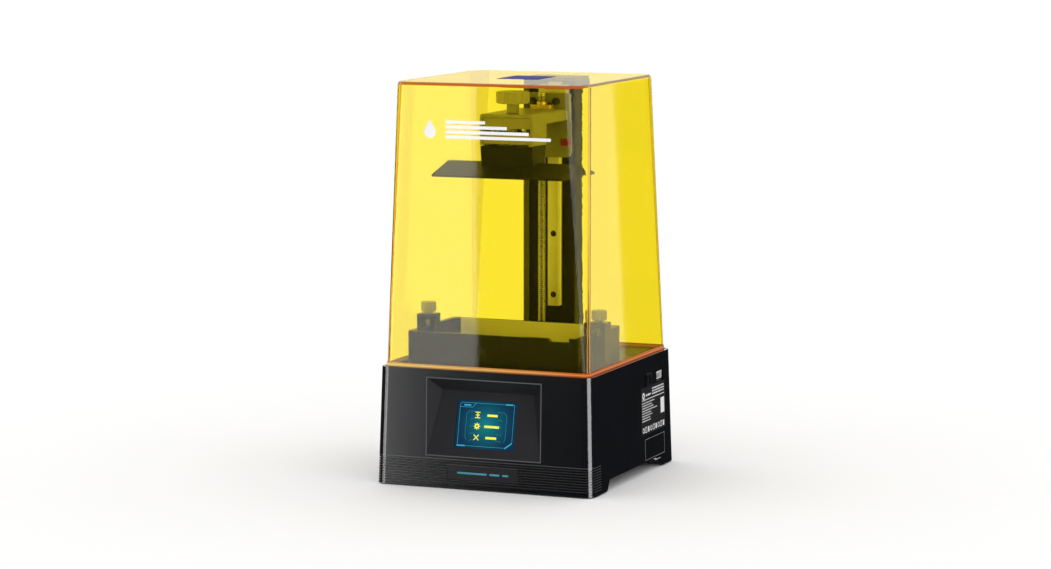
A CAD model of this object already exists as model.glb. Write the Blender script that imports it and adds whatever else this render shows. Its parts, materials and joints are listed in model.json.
import json
import math
import random

import bmesh
import bpy
from mathutils import Matrix, Vector


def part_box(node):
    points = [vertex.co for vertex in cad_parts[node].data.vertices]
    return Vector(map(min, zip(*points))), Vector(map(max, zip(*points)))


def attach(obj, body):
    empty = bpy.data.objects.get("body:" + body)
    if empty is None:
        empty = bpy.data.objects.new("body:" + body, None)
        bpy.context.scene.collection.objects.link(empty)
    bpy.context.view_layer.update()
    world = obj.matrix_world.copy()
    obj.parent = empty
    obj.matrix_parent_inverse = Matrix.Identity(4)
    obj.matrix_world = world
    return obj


# Desktop resin printer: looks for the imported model. Metres, +Z up, the front faces -Y.

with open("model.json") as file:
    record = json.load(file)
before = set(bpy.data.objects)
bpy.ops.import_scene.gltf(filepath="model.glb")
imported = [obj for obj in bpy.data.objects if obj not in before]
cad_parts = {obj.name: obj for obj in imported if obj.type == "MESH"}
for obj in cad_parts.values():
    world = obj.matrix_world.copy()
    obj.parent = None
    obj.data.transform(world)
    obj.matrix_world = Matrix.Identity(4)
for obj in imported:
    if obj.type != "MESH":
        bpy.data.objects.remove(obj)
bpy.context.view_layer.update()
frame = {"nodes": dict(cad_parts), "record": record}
nodes = frame["nodes"]
scene = bpy.context.scene

MM = 0.001
X, Y, Z = range(3)


# ---------- material helpers ----------

GRAIN_DEPTH = 0.05 * MM
BLOTCH_SCALE = 18.0
CLEAR_SCALE = 60.0


def new_material(name):
    """An empty node material with its output, ready for shaders."""
    material = bpy.data.materials.new(name)
    material.use_nodes = True
    tree = material.node_tree
    tree.nodes.clear()
    tree.nodes.new("ShaderNodeOutputMaterial")
    return material


def first_of(tree, kind):
    return [n for n in tree.nodes if n.type == kind][0]


def output_of(tree):
    return first_of(tree, "OUTPUT_MATERIAL")


def principled(tree):
    return first_of(tree, "BSDF_PRINCIPLED")


def place(tree, scale=(1.0, 1.0, 1.0)):
    """Object coordinates stretched by scale, so that grain can run one way."""
    coordinates = tree.nodes.new("ShaderNodeTexCoord")
    mapping = tree.nodes.new("ShaderNodeMapping")
    mapping.inputs["Scale"].default_value = scale
    tree.links.new(coordinates.outputs["Object"], mapping.inputs["Vector"])
    return mapping.outputs["Vector"]


def noise(tree, vector, scale, detail=3.0):
    texture = tree.nodes.new("ShaderNodeTexNoise")
    texture.inputs["Scale"].default_value = scale
    texture.inputs["Detail"].default_value = detail
    tree.links.new(vector, texture.inputs["Vector"])
    return texture.outputs["Fac"]


def spread(tree, value, low, high):
    """Maps a pattern's 0.3 to 0.7 onto low to high."""
    node = tree.nodes.new("ShaderNodeMapRange")
    node.inputs["From Min"].default_value = 0.3
    node.inputs["From Max"].default_value = 0.7
    node.inputs["To Min"].default_value = low
    node.inputs["To Max"].default_value = high
    tree.links.new(value, node.inputs["Value"])
    return node.outputs["Result"]


def shade(tree, value, first, second):
    """Colour between two colours along a pattern."""
    ramp = tree.nodes.new("ShaderNodeValToRGB")
    ramp.color_ramp.elements[0].position = 0.3
    ramp.color_ramp.elements[0].color = (*first, 1.0)
    ramp.color_ramp.elements[1].position = 0.7
    ramp.color_ramp.elements[1].color = (*second, 1.0)
    tree.links.new(value, ramp.inputs["Fac"])
    return ramp.outputs["Color"]


def relief(tree, value, strength):
    bump = tree.nodes.new("ShaderNodeBump")
    bump.inputs["Strength"].default_value = strength
    bump.inputs["Distance"].default_value = GRAIN_DEPTH
    tree.links.new(value, bump.inputs["Height"])
    return bump.outputs["Normal"]


def scaled(colour, factor):
    return tuple(min(c * factor, 1.0) for c in colour)


def number(tree, operation, *values):
    """One step of arithmetic on sockets and numbers."""
    node = tree.nodes.new("ShaderNodeMath")
    node.operation = operation
    for socket, value in zip(node.inputs, values):
        if isinstance(value, (int, float)):
            socket.default_value = value
        else:
            tree.links.new(value, socket)
    return node.outputs["Value"]


def above(tree, value, limit):
    """1 where value is more than the limit."""
    return number(tree, "GREATER_THAN", value, limit)


def below(tree, value, limit):
    """1 where value is less than the limit."""
    return number(tree, "LESS_THAN", value, limit)


def both(tree, *masks):
    """1 where every mask is 1."""
    whole = masks[0]
    for mask in masks[1:]:
        whole = number(tree, "MULTIPLY", whole, mask)
    return whole


def step(tree, value, start, end, first=0.0, last=1.0):
    """Goes smoothly from first, up to start, to last, from end on."""
    node = tree.nodes.new("ShaderNodeMapRange")
    node.interpolation_type = "SMOOTHSTEP"
    node.inputs["From Min"].default_value = start
    node.inputs["From Max"].default_value = end
    node.inputs["To Min"].default_value = first
    node.inputs["To Max"].default_value = last
    tree.links.new(value, node.inputs["Value"])
    return node.outputs["Result"]


def band(tree, value, start, end, soft):
    """1 where value lies between start and end, with soft ends."""
    rise = step(tree, value, start - soft, start + soft)
    fall = step(tree, value, end - soft, end + soft, 1.0, 0.0)
    return both(tree, rise, fall)


def spot_and_facing(tree):
    """Coordinates of the shaded spot in the model, and the direction its surface faces."""
    coordinates = tree.nodes.new("ShaderNodeTexCoord")
    found = []
    for kind in ("Object", "Normal"):
        split = tree.nodes.new("ShaderNodeSeparateXYZ")
        tree.links.new(coordinates.outputs[kind], split.inputs["Vector"])
        found.append([split.outputs[axis] for axis in "XYZ"])
    return found


def layered(tree, mask, under, over):
    """One shader over another where the mask is 1."""
    mix = tree.nodes.new("ShaderNodeMixShader")
    tree.links.new(mask, mix.inputs["Fac"])
    tree.links.new(under, mix.inputs[1])
    tree.links.new(over, mix.inputs[2])
    return mix.outputs["Shader"]


def repaint(tree, mask, colour):
    """Another colour on a surface where the mask is 1."""
    shader = principled(tree)
    painted = shader.inputs["Base Color"].links[0].from_socket
    mix = tree.nodes.new("ShaderNodeMix")
    mix.data_type = "RGBA"
    tree.links.new(mask, mix.inputs[0])
    tree.links.new(painted, mix.inputs[6])
    mix.inputs[7].default_value = (*colour, 1.0)
    tree.links.new(mix.outputs[2], shader.inputs["Base Color"])


# ---------- kinds of surface ----------

def finish(name, colour, rough, metal=0.0, specular=0.5, grain=(1.0, 1.0, 1.0), grain_scale=400.0,
           variation=0.12, wear=0.06, bump=0.1, coat=0.0):
    """A surface with a grain in its colour, roughness and relief."""
    material = new_material(name)
    tree = material.node_tree
    shader = tree.nodes.new("ShaderNodeBsdfPrincipled")
    fine = noise(tree, place(tree, grain), grain_scale)
    broad = noise(tree, place(tree), BLOTCH_SCALE, detail=4.0)
    tree.links.new(shade(tree, broad, scaled(colour, 1 - variation), scaled(colour, 1 + variation)),
                   shader.inputs["Base Color"])
    tree.links.new(spread(tree, fine, max(rough - wear, 0.02), min(rough + wear, 1.0)),
                   shader.inputs["Roughness"])
    tree.links.new(relief(tree, fine, bump), shader.inputs["Normal"])
    shader.inputs["Metallic"].default_value = metal
    shader.inputs["Specular IOR Level"].default_value = specular
    shader.inputs["Coat Weight"].default_value = coat
    tree.links.new(shader.outputs["BSDF"], output_of(tree).inputs["Surface"])
    return material


def glowing(name, colour, strength):
    """A lit mark on a screen, with a little unevenness."""
    material = finish(name, colour, 0.5, specular=0.1, variation=0.05)
    shader = principled(material.node_tree)
    shader.inputs["Emission Color"].default_value = (*colour, 1.0)
    shader.inputs["Emission Strength"].default_value = strength
    return material


def clear(name, colour, rough=0.02, ior=1.45):
    """Clear glass or film that lamps shine through."""
    material = new_material(name)
    tree = material.node_tree
    shader = tree.nodes.new("ShaderNodeBsdfPrincipled")
    shader.inputs["Base Color"].default_value = (*colour, 1.0)
    shader.inputs["Transmission Weight"].default_value = 1.0
    shader.inputs["IOR"].default_value = ior
    tree.links.new(spread(tree, noise(tree, place(tree), CLEAR_SCALE), rough, rough + 0.02),
                   shader.inputs["Roughness"])
    open_shader = tree.nodes.new("ShaderNodeBsdfTransparent")
    open_shader.inputs["Color"].default_value = (*colour, 1.0)
    path = tree.nodes.new("ShaderNodeLightPath")
    shown = layered(tree, path.outputs["Is Shadow Ray"], shader.outputs["BSDF"],
                    open_shader.outputs["BSDF"])
    tree.links.new(shown, output_of(tree).inputs["Surface"])
    return material


# ---------- cover ----------

ACRYLIC_IOR = 1.25
ACRYLIC_ROUGH = 0.012
RIM_HEIGHT = 3.5 * MM
LID_DEPTH = 3.3 * MM
SEAM_HALF = 0.6 * MM


def glow_base(tree):
    """Satin surface with a faint glow of its own, like an edge of acrylic that gathers light."""
    shader = tree.nodes.new("ShaderNodeBsdfPrincipled")
    shader.inputs["Roughness"].default_value = 0.3
    shader.inputs["Specular IOR Level"].default_value = 0.1
    shader.inputs["Emission Strength"].default_value = 0.15
    return shader


def plain_glow(tree, colour):
    """Edge of one colour."""
    shader = glow_base(tree)
    for name in ("Base Color", "Emission Color"):
        shader.inputs[name].default_value = (*colour, 1.0)
    return shader.outputs["BSDF"]


def fading_glow(tree, left, right, along, start, end):
    """Edge whose colour changes from left to right along one coordinate."""
    ramp = tree.nodes.new("ShaderNodeValToRGB")
    ramp.color_ramp.elements[0].color = (*left, 1.0)
    ramp.color_ramp.elements[1].color = (*right, 1.0)
    share = tree.nodes.new("ShaderNodeMapRange")
    share.inputs["From Min"].default_value = start
    share.inputs["From Max"].default_value = end
    tree.links.new(along, share.inputs["Value"])
    tree.links.new(share.outputs["Result"], ramp.inputs["Fac"])
    shader = glow_base(tree)
    for name in ("Base Color", "Emission Color"):
        tree.links.new(ramp.outputs["Color"], shader.inputs[name])
    return shader.outputs["BSDF"]


def flat_edge(facing, sideways):
    """Foot and top of one upright edge of a flat outer face of the cover."""
    mesh = nodes["cover_shell"].data
    facing = Vector(facing)
    sideways = Vector(sideways)
    above_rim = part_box("cover_shell")[0][Z] + RIM_HEIGHT
    spots = []
    for flat in mesh.polygons:
        outside = flat.center.dot(facing) > 0 and flat.center.z > above_rim
        if outside and flat.normal.dot(facing) > 0.9995:
            spots += [mesh.vertices[i].co for i in flat.vertices]
    ends = []
    for height in (min(v.z for v in spots), max(v.z for v in spots)):
        row = [v for v in spots if abs(v.z - height) < 0.5 * MM]
        ends.append(max(row, key=lambda v: v.dot(sideways)))
    return ends


def edge_line(tree, spot, ends, axis):
    """1 along a slanted line between two ends, measured along one axis."""
    foot, top = ends
    lean = (top[axis] - foot[axis]) / (top.z - foot.z)
    line = number(tree, "ADD", number(tree, "MULTIPLY", spot[Z], lean), foot[axis] - lean * foot.z)
    return band(tree, number(tree, "SUBTRACT", spot[axis], line), -SEAM_HALF, SEAM_HALF, SEAM_HALF / 2)


def upright_seams(tree, spot, facing, front):
    """Masks of the thin lines at the front right, front left and rear right of the cover."""
    right_side = both(tree, above(tree, facing[X], 0.5), above(tree, spot[X], 0.0))
    front_right = edge_line(tree, spot, flat_edge((1, 0, 0), (0, -1, 0)), Y)
    rear_right = edge_line(tree, spot, flat_edge((1, 0, 0), (0, 1, 0)), Y)
    front_ends = flat_edge((0, -1, 0), (-1, 0, 0))
    side_ends = flat_edge((-1, 0, 0), (0, -1, 0))
    toward_side = 0.65
    left_ends = [a.lerp(b, toward_side) for a, b in zip(front_ends, side_ends)]
    front_left = edge_line(tree, spot, left_ends, X)
    return (both(tree, front_right, right_side),
            both(tree, front_left, below(tree, facing[Y], -0.5), front),
            both(tree, rear_right, right_side))


def cover_edges(tree):
    """Each edge of the cover as a mask and a shader, in the order they are laid on."""
    low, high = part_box("cover_shell")
    spot, facing = spot_and_facing(tree)
    front_zone = 12 * MM
    front = below(tree, spot[Y], low[Y] + front_zone)
    lid = above(tree, spot[Z], high[Z] - LID_DEPTH)
    # Between upright and flat, the rounding at the top faces partly up.
    front_ridge = both(tree, band(tree, facing[Z], 0.2, 0.97, 0.05), lid, front)
    thin_ridge = both(tree, band(tree, facing[Z], 0.45, 0.85, 0.1), lid)
    rim = below(tree, spot[Z], low[Z] + RIM_HEIGHT)
    rim_line = both(tree, rim, band(tree, spot[Z], low[Z] + 1.2 * MM, low[Z] + 2.2 * MM, 0.5 * MM))
    # Only a rounded corner faces sideways and back at once, which makes this product negative.
    turned = number(tree, "MULTIPLY", facing[X], facing[Y])
    rear_left = both(tree, below(tree, turned, -0.12), below(tree, spot[X], 0.0),
                     above(tree, spot[Y], 0.0))
    smoke = 0.11
    smoky = number(tree, "MULTIPLY", rear_left, smoke)
    front_right, front_left, rear_right = upright_seams(tree, spot, facing, front)

    brown = plain_glow(tree, (0.33, 0.16, 0.02))
    gold = plain_glow(tree, (0.75, 0.33, 0.04))
    span = (spot[X], low[X], high[X])
    deep = fading_glow(tree, (0.42, 0.11, 0.014), (0.42, 0.075, 0.008), *span)
    warm = fading_glow(tree, (0.74, 0.47, 0.12), (0.50, 0.09, 0.005), *span)
    light = fading_glow(tree, (0.96, 0.76, 0.30), (0.85, 0.26, 0.035), *span)
    return ((smoky, brown), (thin_ridge, brown), (front_ridge, deep), (front_right, gold),
            (front_left, gold), (rear_right, brown), (rim, warm), (rim_line, light))


def less_mirror_on_lid(tree, glass):
    """The glass, with about half of its mirror reflection taken off the flat top."""
    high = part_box("cover_shell")[1]
    taken = 0.55
    spot, facing = spot_and_facing(tree)
    flat_top = both(tree, above(tree, facing[Z], 0.97), above(tree, spot[Z], high[Z] - LID_DEPTH))
    through = tree.nodes.new("ShaderNodeBsdfRefraction")
    through.inputs["IOR"].default_value = ACRYLIC_IOR
    through.inputs["Roughness"].default_value = ACRYLIC_ROUGH
    return layered(tree, number(tree, "MULTIPLY", flat_top, taken), glass, through.outputs["BSDF"])


def cover_material():
    """Yellow acrylic. It absorbs blue, and its edges gather light and look orange."""
    material = clear("cover_yellow", (1.0, 0.97, 0.85), ACRYLIC_ROUGH, ACRYLIC_IOR)
    tree = material.node_tree
    output = output_of(tree)
    volume = tree.nodes.new("ShaderNodeVolumeAbsorption")
    volume.inputs["Color"].default_value = (0.995, 0.945, 0.0, 1.0)
    volume.inputs["Density"].default_value = 560.0
    tree.links.new(volume.outputs["Volume"], output.inputs["Volume"])
    shown = less_mirror_on_lid(tree, output.inputs["Surface"].links[0].from_socket)
    for mask, shader in cover_edges(tree):
        shown = layered(tree, mask, shown, shader)
    tree.links.new(shown, output.inputs["Surface"])
    return material


# ---------- other painted pieces ----------

BRUSHED_UP = (40.0, 40.0, 1.0)
BRUSHED_ACROSS = (1.0, 40.0, 40.0)


def screen_material():
    """Lit display: dark blue that turns teal towards the middle."""
    material = new_material("screen_glass")
    tree = material.node_tree
    low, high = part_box("touch_panel")
    middle = [(a + b) / 2 for a, b in zip(low, high)]
    reach = 34 * MM
    coordinates = tree.nodes.new("ShaderNodeTexCoord")
    mapping = tree.nodes.new("ShaderNodeMapping")
    mapping.inputs["Location"].default_value = [-c / reach for c in middle]
    mapping.inputs["Scale"].default_value = (1 / reach,) * 3
    tree.links.new(coordinates.outputs["Object"], mapping.inputs["Vector"])
    ball = tree.nodes.new("ShaderNodeTexGradient")
    ball.gradient_type = "QUADRATIC_SPHERE"
    tree.links.new(mapping.outputs["Vector"], ball.inputs["Vector"])
    ramp = tree.nodes.new("ShaderNodeValToRGB")
    ramp.color_ramp.elements[0].color = (0.002, 0.030, 0.075, 1.0)
    ramp.color_ramp.elements[1].color = (0.003, 0.20, 0.25, 1.0)
    ramp.color_ramp.elements[1].position = 0.8
    tree.links.new(ball.outputs["Fac"], ramp.inputs["Fac"])
    shader = tree.nodes.new("ShaderNodeBsdfPrincipled")
    shader.inputs["Base Color"].default_value = (0.004, 0.006, 0.01, 1.0)
    shader.inputs["Roughness"].default_value = 0.15
    shader.inputs["Specular IOR Level"].default_value = 0.15
    shader.inputs["Emission Strength"].default_value = 0.9
    tree.links.new(ramp.outputs["Color"], shader.inputs["Emission Color"])
    tree.links.new(shader.outputs["BSDF"], output_of(tree).inputs["Surface"])
    return material


def vat_material():
    """Dark satin metal with a machined, brighter inner rear wall."""
    material = finish("vat_grey", (0.0055, 0.0065, 0.0050), 0.30, specular=0.12, grain_scale=800.0,
                      bump=0.02)
    tree = material.node_tree
    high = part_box("vat_frame")[1]
    wall = 6 * MM
    spot, facing = spot_and_facing(tree)
    rear_wall = above(tree, spot[Y], high[Y] - wall)
    repaint(tree, both(tree, rear_wall, below(tree, facing[Y], -0.9)), (0.85, 0.86, 0.80))
    return material


def column_material():
    """Brushed dark metal whose face is black beside the rail and in the groove."""
    material = finish("column_black", (0.085, 0.083, 0.075), 0.35, specular=0.1, grain=BRUSHED_UP,
                      grain_scale=30.0, bump=0.04)
    tree = material.node_tree
    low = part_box("column")[0]
    past_groove = 4 * MM
    strip = 7 * MM
    spot, facing = spot_and_facing(tree)
    at_front = below(tree, spot[Y], low[Y] + past_groove)
    past_strip = above(tree, spot[X], low[X] + strip)
    repaint(tree, both(tree, at_front, past_strip), (0.0015, 0.0018, 0.0012))
    repaint(tree, above(tree, facing[X], 0.5), (0.012, 0.012, 0.010))
    return material


def housing_material():
    """Black plastic, glossy but for its flanks, whose front ribs have lighter upper edges."""
    gloss = 0.15
    material = finish("housing_black", (0.0050, 0.0056, 0.0072), gloss, specular=0.05,
                      grain_scale=900.0, wear=0.02, bump=0.015)
    tree = material.node_tree
    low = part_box("base_housing")[0]
    spot, facing = spot_and_facing(tree)
    pitch = 2.5 * MM
    lowest = low[Z] + 2.6 * MM
    ribs = 10.4
    reach = 24 * MM
    steps = number(tree, "DIVIDE", number(tree, "SUBTRACT", spot[Z], lowest), pitch)
    phase = number(tree, "FRACT", steps)
    ribbed = both(tree, band(tree, steps, 0.0, ribs, 0.01), below(tree, spot[Y], low[Y] + reach))
    upper_edge = band(tree, phase, 0.62, 1.0, 0.05)
    gap = band(tree, phase, 0.0, 0.36, 0.02)
    repaint(tree, both(tree, ribbed, upper_edge), (0.060, 0.061, 0.064))
    repaint(tree, both(tree, ribbed, gap), (0.001, 0.001, 0.001))
    flank = above(tree, number(tree, "ABSOLUTE", facing[X]), 0.95)
    shader = principled(tree)
    shader.inputs["Coat Roughness"].default_value = gloss
    tree.links.new(spread(tree, flank, 0.85, 0.0), shader.inputs["Coat Weight"])
    return material


def bezel_material():
    """Satin black with a thin, lighter outline."""
    material = finish("bezel_black", (0.019, 0.0195, 0.022), 0.45, specular=0.12,
                      grain_scale=900.0, bump=0.05)
    tree = material.node_tree
    low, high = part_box("display_bezel")
    spot = spot_and_facing(tree)[0]
    line = 0.9 * MM
    for axis in (X, Z):
        inner = band(tree, spot[axis], low[axis] + line, high[axis] - line, 0.1 * MM)
        repaint(tree, number(tree, "SUBTRACT", 1.0, inner), (0.11, 0.11, 0.115))
    return material


# ---------- a material for each slot ----------

FINISHES = {
    "badge_black": dict(colour=(0.006, 0.006, 0.008), rough=0.35, specular=0.2, bump=0.01),
    "electronics": dict(colour=(0.01, 0.10, 0.04), rough=0.45, grain_scale=250.0),
    "board_white": dict(colour=(0.75, 0.75, 0.72), rough=0.5),
    "rubber_black": dict(colour=(0.014, 0.014, 0.014), rough=0.85, bump=0.3),
    "deck_black": dict(colour=(0.016, 0.016, 0.018), rough=0.45, specular=0.2, grain_scale=700.0,
                       bump=0.3),
    "mask_glass": dict(colour=(0.006, 0.006, 0.008), rough=0.08, coat=0.5),
    "tape_black": dict(colour=(0.010, 0.010, 0.010), rough=0.6),
    "light_black": dict(colour=(0.03, 0.03, 0.03), rough=0.6),
    "aluminium": dict(colour=(0.70, 0.71, 0.73), rough=0.35, metal=1.0, grain=BRUSHED_ACROSS,
                      grain_scale=60.0),
    "sheet_black": dict(colour=(0.016, 0.016, 0.018), rough=0.5, grain_scale=800.0, bump=0.25),
    "fan_black": dict(colour=(0.012, 0.012, 0.012), rough=0.5),
    "socket_metal": dict(colour=(0.85, 0.85, 0.86), rough=0.35, metal=0.2),
    "tongue_white": dict(colour=(0.85, 0.85, 0.83), rough=0.4),
    "switch_black": dict(colour=(0.008, 0.008, 0.009), rough=0.28),
    "label_black": dict(colour=(0.007, 0.007, 0.009), rough=0.45, specular=0.3),
    "motor_steel": dict(colour=(0.04, 0.04, 0.045), rough=0.45, metal=0.6),
    "rail_steel": dict(colour=(0.66, 0.66, 0.60), rough=0.30, metal=0.15, grain=BRUSHED_UP,
                       grain_scale=300.0, bump=0.03),
    "screw_steel": dict(colour=(0.45, 0.45, 0.44), rough=0.3, metal=1.0),
    "screw_black": dict(colour=(0.02, 0.02, 0.02), rough=0.35, metal=0.6),
    "brass": dict(colour=(0.95, 0.70, 0.25), rough=0.25, metal=0.5),
    "flag_red": dict(colour=(0.28, 0.006, 0.006), rough=0.4, specular=0.2),
    "arm_black": dict(colour=(0.27, 0.27, 0.255), rough=0.36, specular=0.3, grain_scale=700.0,
                      bump=0.04),
    "bed_black": dict(colour=(0.0090, 0.0100, 0.0095), rough=0.42, specular=0.08, grain_scale=900.0,
                      bump=0.06),
    "knob_black": dict(colour=(0.36, 0.36, 0.34), rough=0.35, specular=0.3, bump=0.04),
    "graphic_white": dict(colour=(0.95, 0.95, 0.95), rough=0.4),
    "sticker_blue": dict(colour=(0.003, 0.006, 0.22), rough=0.5, specular=0.03),
}

materials = {name: finish(name, **look) for name, look in FINISHES.items()}
materials.update(
    housing_black=housing_material(),
    bezel_black=bezel_material(),
    screen_glass=screen_material(),
    clear_glass=clear("clear_glass", (0.80, 0.90, 0.87)),
    column_black=column_material(),
    vat_grey=vat_material(),
    film_clear=clear("film_clear", (0.92, 0.94, 0.95), 0.05, 1.34),
    cover_yellow=cover_material(),
)


def smooth(thing):
    """Smooth shading except over sharp edges."""
    mesh = thing.data
    mesh.polygons.foreach_set("use_smooth", [True] * len(mesh.polygons))
    mesh.set_sharp_from_angle(angle=math.radians(30.0))


def dress(thing, material):
    thing.data.materials.clear()
    thing.data.materials.append(material)


for part in frame["record"]["subparts"]:
    dress(nodes[part["node"]], materials[part["material_slot"]])
dress(nodes["cap_screws"], finish("bolt_black", (0.012, 0.012, 0.010), 0.3, specular=0.3))


# ---------- flat marks on faces ----------

MARK_THICK = 0.06 * MM


def face_of(node, outward):
    """Middle and the sideways, upward and outward directions of a node's flat outer face."""
    mesh = nodes[node].data
    outward = Vector(outward)
    normal = max(mesh.polygons, key=lambda f: f.normal.dot(outward)).normal.copy()
    far = max(v.co.dot(normal) for v in mesh.vertices)
    sideways = Vector((0, 0, 1)).cross(normal).normalized()
    upward = normal.cross(sideways)
    spots = [v.co for v in mesh.vertices if far - v.co.dot(normal) < 0.02 * MM]
    across = [s.dot(sideways) for s in spots]
    along = [s.dot(upward) for s in spots]
    middle = (sideways * (min(across) + max(across)) / 2 + upward * (min(along) + max(along)) / 2
              + normal * far)
    return middle, sideways, upward, normal


def add_bar(shape, corners):
    """A thin plate over a polygon of (across, up) corners in millimetres."""
    low = [shape.verts.new((x * MM, y * MM, 0.0)) for x, y in corners]
    high = [shape.verts.new((x * MM, y * MM, MARK_THICK)) for x, y in corners]
    shape.faces.new(list(reversed(low)))
    shape.faces.new(high)
    for i in range(len(corners)):
        j = (i + 1) % len(corners)
        shape.faces.new((low[i], low[j], high[j], high[i]))


def block(left, low, right, high):
    return [(left, low), (right, low), (right, high), (left, high)]


def ring(centre, outer, inner, sides):
    """Polygons that make a ring round a centre."""
    pieces = []
    for i in range(sides):
        a = 2 * math.pi * i / sides
        b = 2 * math.pi * (i + 1) / sides
        pieces.append([(centre[X] + r * math.cos(t), centre[Y] + r * math.sin(t))
                       for r, t in ((inner, a), (outer, a), (outer, b), (inner, b))])
    return pieces


def stroke(points, width):
    """Polygons that make a line of a width through points."""
    pieces = []
    for (x1, y1), (x2, y2) in zip(points, points[1:]):
        long = math.hypot(x2 - x1, y2 - y1)
        dx = (x2 - x1) / long * width / 2
        dy = (y2 - y1) / long * width / 2
        pieces.append([(x1 - dx - dy, y1 - dy + dx), (x1 - dx + dy, y1 - dy - dx),
                       (x2 + dx + dy, y2 + dy - dx), (x2 + dx - dy, y2 + dy + dx)])
    return pieces


def marks(name, polygons, face, material, body="base"):
    """One piece made of thin plates on a flat face."""
    shape = bmesh.new()
    for corners in polygons:
        add_bar(shape, corners)
    bmesh.ops.recalc_face_normals(shape, faces=shape.faces)
    mesh = bpy.data.meshes.new(name)
    shape.to_mesh(mesh)
    shape.free()
    middle, sideways, upward, normal = face
    turn = Matrix((sideways, upward, normal)).transposed().to_4x4()
    mesh.transform(Matrix.Translation(middle) @ turn)
    thing = bpy.data.objects.new(name, mesh)
    scene.collection.objects.link(thing)
    dress(thing, material)
    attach(thing, body)


# ---------- screen ----------

ICON_X = -9.0
WORD_X = 6.0
MENU_ROWS = (9.2, -1.4, -12.0)
WORD_WIDTHS = (10.5, 15.0, 11.0)


def make_screen_frame(face):
    """Outline with a cut corner, a tab at the top left and short heavy accents."""
    half_x = 27.6
    half_y = 20.4
    tab = 12.5
    nick = 5.5
    thin = 0.3
    heavy = 1.3
    outline = [(-half_x, half_y - 2), (-half_x + 2, half_y), (half_x, half_y),
               (half_x, -half_y + nick), (half_x - nick, -half_y), (-half_x, -half_y),
               (-half_x, half_y - 2)]
    lines = stroke(outline, thin)
    lines += stroke([(-half_x, half_y - 4.2), (-half_x + tab, half_y - 4.2),
                     (-half_x + tab + 4, half_y)], 0.35)
    lines += stroke([(half_x - 8, half_y), (half_x - 2, half_y)], heavy)
    lines += stroke([(-half_x, -half_y), (-half_x + 7, -half_y)], heavy)
    lines += stroke([(half_x - 0.4, -half_y + nick - 1), (half_x - nick - 1, -half_y - 0.2)], 1.2)
    lines += [block(-half_x + 4, half_y - 3.0, -half_x + 11, half_y - 1.6)]
    cyan = glowing("screen_lines", (0.03, 0.25, 0.36), 0.7)
    marks("screen_frame", lines, face, cyan)


def make_screen_guides(face):
    """Faint upright lines at both sides of the menu, and ticks between its rows."""
    faint = []
    for side in (-1, 1):
        faint += stroke([(side * 17, 13), (side * 20.5, 10), (side * 20.5, -12), (side * 19, -15)], 0.3)
    for y in (12.6, 5.6, -1.2, -8.2, -14.6):
        for side in (-1, 1):
            faint += stroke([(side * 11, y), (side * 15, y), (side * 16, y - 1)], 0.3)
    marks("screen_guides", faint, face, glowing("screen_guide_lines", (0.02, 0.17, 0.26), 0.6))


def platform_icon(y):
    """Two bars joined by a post, with a shorter bar between them."""
    return [block(ICON_X - 2.6, y - 3.0, ICON_X + 2.6, y - 2.2),
            block(ICON_X - 2.6, y + 2.2, ICON_X + 2.6, y + 3.0),
            block(ICON_X - 0.5, y - 2.2, ICON_X + 0.5, y + 2.2),
            block(ICON_X - 2.0, y - 0.4, ICON_X + 2.0, y + 0.4)]


def gear_icon(y):
    icon = ring((ICON_X, y), 2.2, 0.9, 16)
    teeth = 8
    for i in range(teeth):
        turn = 2 * math.pi * i / teeth
        icon += stroke([(ICON_X + 2.0 * math.cos(turn), y + 2.0 * math.sin(turn)),
                        (ICON_X + 2.8 * math.cos(turn), y + 2.8 * math.sin(turn))], 0.9)
    return icon


def crossed_tools_icon(y):
    icon = stroke([(ICON_X - 2.2, y - 2.2), (ICON_X + 2.2, y + 2.2)], 0.9)
    return icon + stroke([(ICON_X - 2.2, y + 2.2), (ICON_X + 2.2, y - 2.2)], 0.9)


def make_screen_menu(face):
    """Three rows of an icon and a blank bar in place of a word."""
    yellow = []
    for y, wide in zip(MENU_ROWS, WORD_WIDTHS):
        yellow.append(block(WORD_X - wide / 2, y - 1.1, WORD_X + wide / 2, y + 1.1))
    for icon, y in zip((platform_icon, gear_icon, crossed_tools_icon), MENU_ROWS):
        yellow += icon(y)
    marks("screen_menu", yellow, face, glowing("screen_yellow", (0.62, 0.60, 0.05), 0.7))


def make_screen():
    face = face_of("touch_panel", (0, -1, 0.2))
    make_screen_frame(face)
    make_screen_guides(face)
    make_screen_menu(face)


# ---------- label, badge and side marks ----------

def text_line(left, middle, right, size, rng):
    """A line of short dashes, as print looks from a distance."""
    pieces = []
    x = left
    while x < right - size:
        wide = min(rng.uniform(1.2, 4.0) * size, right - x)
        pieces.append(block(x, middle - size / 2, x + wide, middle + size / 2))
        x += wide + size * 0.8
    return pieces


def shape_row(left, right, y):
    """A row of rings, squares and blocks."""
    pieces = []
    count = 9
    for i in range(count):
        x = left + i * (right - left) / (count - 1)
        if i % 3 == 0:
            pieces += ring((x, y), 2.6, 1.7, 14)
        elif i % 3 == 1:
            pieces += stroke([(x - 2, y - 2.4), (x + 2, y - 2.4), (x + 2, y + 2.4), (x - 2, y + 2.4),
                              (x - 2, y - 2.4)], 0.8)
        else:
            pieces += [block(x - 1.8, y - 2.6, x + 1.8, y + 2.6)]
    return pieces


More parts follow.
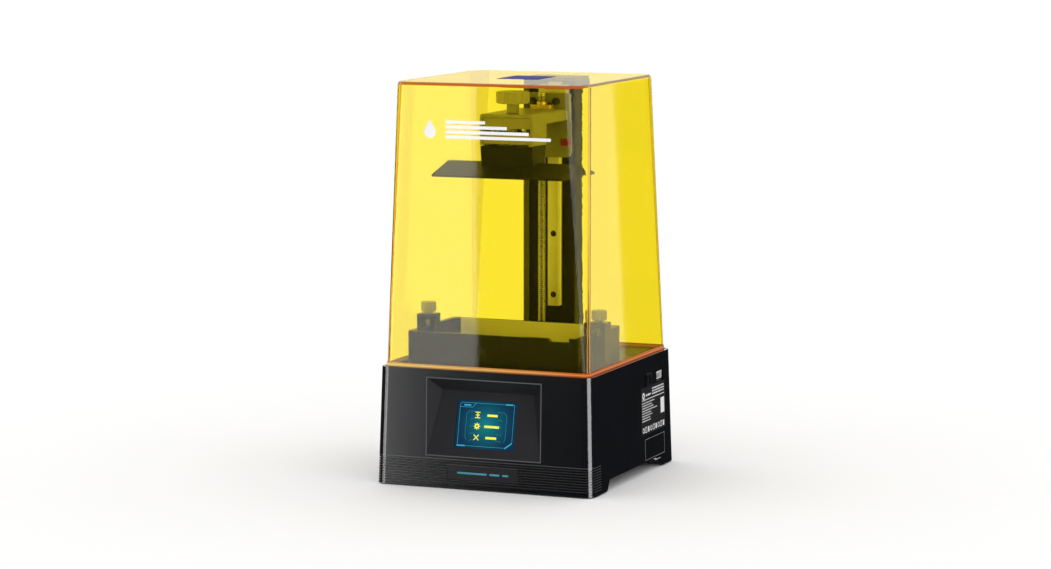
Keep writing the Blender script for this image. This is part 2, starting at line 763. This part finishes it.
def make_label():
    """Blank rating label: dashes for print, a plain white patch and a row of plain shapes."""
    low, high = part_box("rating_label")
    face = face_of("rating_label", (1, 0, 0.03))
    margin = 3
    right = (high[Y] - low[Y]) / MM / 2 - margin
    left = -right
    top = (high[Z] - low[Z]) / MM / 2
    rng = random.Random(7)
    white = []
    for i in range(3):
        white += text_line(-2.0, top - 3.5 - 2.6 * i, right, 1.3, rng)
    white += ring((left + 4.5, top - 8.0), 3.6, 1.6, 6)
    white += text_line(left + 11, top - 8.0, -6.0, 1.7, rng)
    white += [block(left, top - 12.4, right, top - 11.7)]
    for i in range(8):
        reach = rng.uniform(0.35, 0.7) * (right - left)
        white += text_line(left, top - 15.0 - 2.5 * i, left + reach, 0.8, rng)
    white.append(block(right - 10, -top + 15.0, right, top - 16))
    white += shape_row(left + 3, right - 3, -top + 4.6)
    marks("label_marks", white, face, finish("label_print", (0.80, 0.80, 0.80), 0.6))


def make_side_outline():
    """Thin empty rectangle and a short dash under the rating label."""
    face = face_of("base_housing", (1, 0, 0.03))
    middle = face[0]
    front = 31.0 - middle.y / MM
    rear = 85.0 - middle.y / MM
    foot = 13.0 - middle.z / MM
    top = 33.0 - middle.z / MM
    outline = [(front, foot), (rear, foot), (rear, top), (front, top), (front, foot)]
    dash = [block(front + 26, foot - 4.2, front + 42, foot - 3.2)]
    grey = finish("side_print", (0.30, 0.30, 0.30), 0.6)
    marks("side_marks", stroke(outline, 0.35) + dash, face, grey)


def make_badge_marks():
    """A plain coloured stripe on the badge plate in place of a name."""
    face = face_of("badge_plate", (0, -1, 0.03))
    half = 0.9
    stripe = [block(left, -half, right, half) for left, right in ((-26, 4), (7, 17), (20, 26))]
    cyan = finish("badge_stripe", (0.05, 0.30, 0.42), 0.4)
    marks("badge_stripes", stripe, face, cyan)


make_screen()
make_label()
make_side_outline()
make_badge_marks()
for name in nodes:
    smooth(nodes[name])


# ---------- floor, light and camera ----------

OUTSIDE = ["base_housing", "display_bezel", "badge_plate", "touch_panel", "rear_panel", "bottom_plate",
           "rubber_feet", "switch_frame", "power_rocker", "usb_socket", "fan_frame", "fan_bolts"]
BARE_METAL = ["lead_screw", "lead_nut", "rail_block", "linear_rail", "cap_screws", "carriage_screws"]
COVER = ["cover_shell"]
LAMP_LOW = -1.2
LAMP_HIGH = 0.45


def make_floor():
    shape = bmesh.new()
    bmesh.ops.create_grid(shape, x_segments=2, y_segments=2, size=30.0)
    mesh = bpy.data.meshes.new("floor")
    shape.to_mesh(mesh)
    shape.free()
    floor = bpy.data.objects.new("floor", mesh)
    floor.location.z = -0.2 * MM
    scene.collection.objects.link(floor)
    floor.visible_glossy = False
    dress(floor, finish("floor_white", (0.97, 0.97, 0.97), 0.9, specular=0.0, variation=0.0,
                        bump=0.0))


def softbox(name, start, end, distance, radiance, targets, through=True):
    """Upright lamp between two azimuths that shows in the reflections of some nodes."""
    middle = math.radians((start + end) / 2)
    wide = 2 * distance * math.tan(math.radians((end - start) / 2))
    tall = LAMP_HIGH - LAMP_LOW
    light = bpy.data.lights.new(name, "AREA")
    light.shape = "RECTANGLE"
    light.size = wide
    light.size_y = tall
    light.energy = radiance * math.pi * wide * tall
    thing = bpy.data.objects.new(name, light)
    toward = Vector((math.sin(middle), -math.cos(middle), 0.0))
    thing.location = toward * distance + Vector((0.0, 0.0, (LAMP_LOW + LAMP_HIGH) / 2))
    thing.rotation_mode = "QUATERNION"
    thing.rotation_quaternion = (-toward).to_track_quat("-Z", "Y")
    thing.visible_camera = False
    thing.visible_diffuse = False
    thing.visible_transmission = through
    served = bpy.data.collections.new(name + "_targets")
    for target in targets:
        served.objects.link(nodes[target])
    thing.light_linking.receiver_collection = served
    scene.collection.objects.link(thing)


def make_lamps():
    """Lamps stand low, so that the cover's flat top doesn't mirror them."""
    softbox("left_box", -43.0, -26.5, 3.4, 8.5, OUTSIDE + BARE_METAL)
    softbox("left_far_box", -57.0, -47.0, 3.4, 8.0, OUTSIDE)
    softbox("right_box", 47.5, 86.0, 3.6, 10.0, OUTSIDE + BARE_METAL)
    softbox("left_cover_box", -75.0, -22.5, 3.4, 9.0, COVER, through=False)
    softbox("right_cover_box", -18.5, 30.0, 3.6, 6.0, COVER, through=False)
    softbox("corner_cover_box", 30.0, 90.0, 3.6, 3.0, COVER, through=False)
    softbox("side_cover_box", 90.0, 157.9, 3.6, 1.2, COVER, through=False)


def make_world():
    """White all round. Mirror reflections see a dim room with a bright upper back."""
    direct = 1.05
    room = 0.04
    bright_back = 1.15
    world = bpy.data.worlds.new("studio")
    world.use_nodes = True
    tree = world.node_tree
    back = first_of(tree, "BACKGROUND")
    back.inputs["Color"].default_value = (1.0, 1.0, 1.0, 1.0)
    coordinates = tree.nodes.new("ShaderNodeTexCoord")
    split = tree.nodes.new("ShaderNodeSeparateXYZ")
    tree.links.new(coordinates.outputs["Generated"], split.inputs["Vector"])
    height = split.outputs["Z"]
    toward_back = number(tree, "ADD", height, number(tree, "MULTIPLY", split.outputs["Y"], 0.5))
    bright = both(tree, step(tree, height, 0.0, 0.06), step(tree, toward_back, 0.1, 0.45))
    mirrored = number(tree, "ADD", number(tree, "MULTIPLY", bright, bright_back), room)
    path = tree.nodes.new("ShaderNodeLightPath")
    strength = tree.nodes.new("ShaderNodeMix")
    tree.links.new(above(tree, path.outputs["Glossy Depth"], 0.5), strength.inputs[0])
    strength.inputs[2].default_value = direct
    tree.links.new(mirrored, strength.inputs[3])
    tree.links.new(strength.outputs[0], back.inputs["Strength"])
    scene.world = world


def make_camera():
    """Long lens a little to the right of the front and just above."""
    azimuth = math.radians(22.11)
    elevation = math.radians(6.972)
    distance = 3.2514
    target = Vector((0.0, 0.0, 0.190))
    back = Vector((math.sin(azimuth) * math.cos(elevation),
                   -math.cos(azimuth) * math.cos(elevation), math.sin(elevation)))
    data = bpy.data.cameras.new("camera")
    data.sensor_width = 36.0
    data.lens = 115.26
    data.shift_x = -0.0022
    data.shift_y = -0.0066
    thing = bpy.data.objects.new("camera", data)
    thing.location = target + back * distance
    thing.rotation_mode = "QUATERNION"
    thing.rotation_quaternion = (-back).to_track_quat("-Z", "Y")
    scene.collection.objects.link(thing)
    scene.camera = thing


make_floor()
make_world()
make_lamps()
make_camera()
scene.view_settings.view_transform = "Standard"
